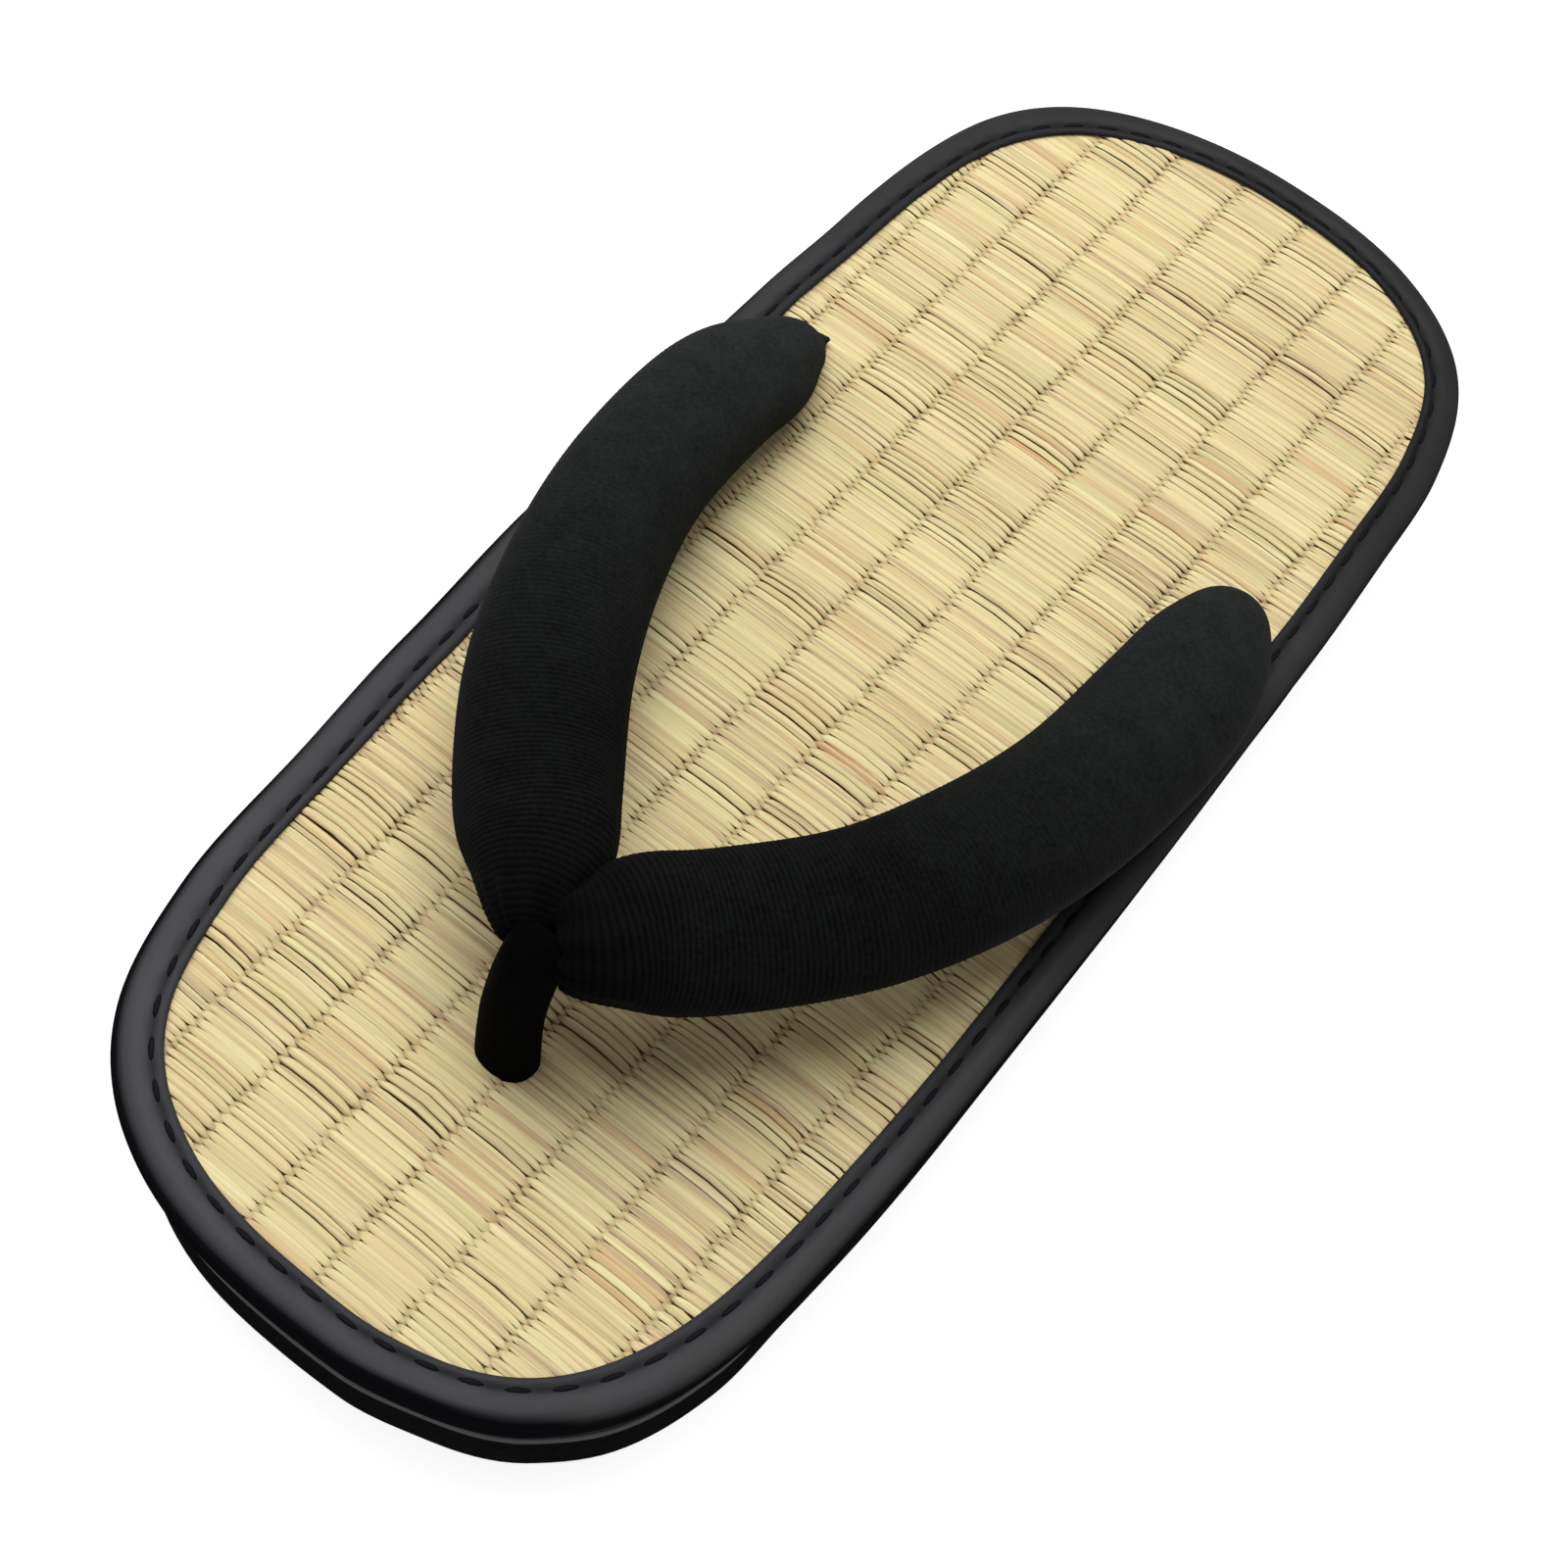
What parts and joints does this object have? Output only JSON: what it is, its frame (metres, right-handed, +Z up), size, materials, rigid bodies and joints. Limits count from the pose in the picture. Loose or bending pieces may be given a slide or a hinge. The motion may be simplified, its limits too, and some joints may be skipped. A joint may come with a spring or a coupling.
{
  "type": "rush-topped thong sandal",
  "caption": "Flat thong sandal with a woven rush footbed, sewn edge binding, foam-rubber sole and a padded V strap held by a toe post.",
  "frame": {"origin": "on the floor, under the middle of the sandal's box", "axes": "+Y from the toe towards the heel, +Z up, +X to the right when seen from above with the heel at the top"},
  "size_m": [0.1076, 0.2546, 0.0581],
  "materials": {
    "sole_rubber": "matt black foam rubber",
    "insole_foam": "dense padding board",
    "rush": "dry woven rush, straw yellow",
    "binding_vinyl": "satin charcoal vinyl leather",
    "strap_cloth": "matt black ribbed cloth over padding",
    "post_velvet": "black velvet"
  },
  "bodies": {
    "root": {"outsole": "sole_rubber", "insole": "insole_foam", "rush_mat": "rush", "edge_binding": "binding_vinyl", "strap": "strap_cloth", "toe_post": "post_velvet"}
  },
  "joints": []
}
